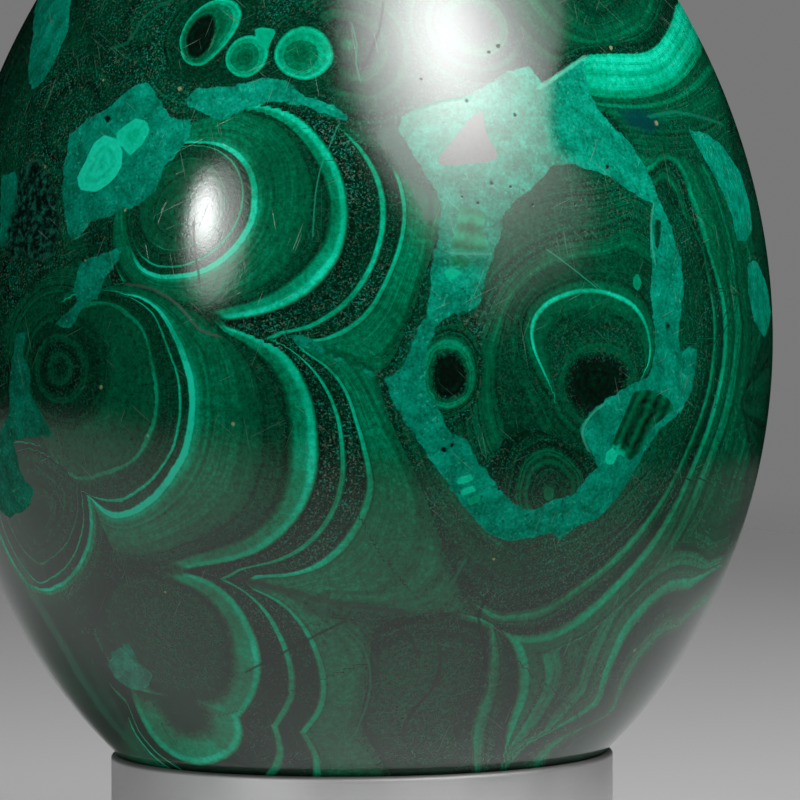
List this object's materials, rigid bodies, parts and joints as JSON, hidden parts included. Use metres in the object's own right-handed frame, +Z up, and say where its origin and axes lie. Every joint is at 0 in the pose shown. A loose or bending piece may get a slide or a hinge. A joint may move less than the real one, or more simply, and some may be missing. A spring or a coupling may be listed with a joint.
{
  "type": "malachite egg",
  "caption": "Polished egg of green banded malachite standing upright, blunt end down, in a low round metal ring that cups its lower end.",
  "frame": {"origin": "middle of the ring's foot, on the surface that the object stands on", "axes": "+Z up through the pointed end of the egg; -Y faces the viewer of the picture; +X is to the viewer's right"},
  "size_m": [0.05, 0.05, 0.0713],
  "materials": {
    "malachite": "high polish, dark green with light green bands and blue-green granular veins",
    "ring_metal": "fine satin polish"
  },
  "bodies": {
    "root": {"egg": "malachite", "ring_stand": "ring_metal"}
  },
  "joints": []
}
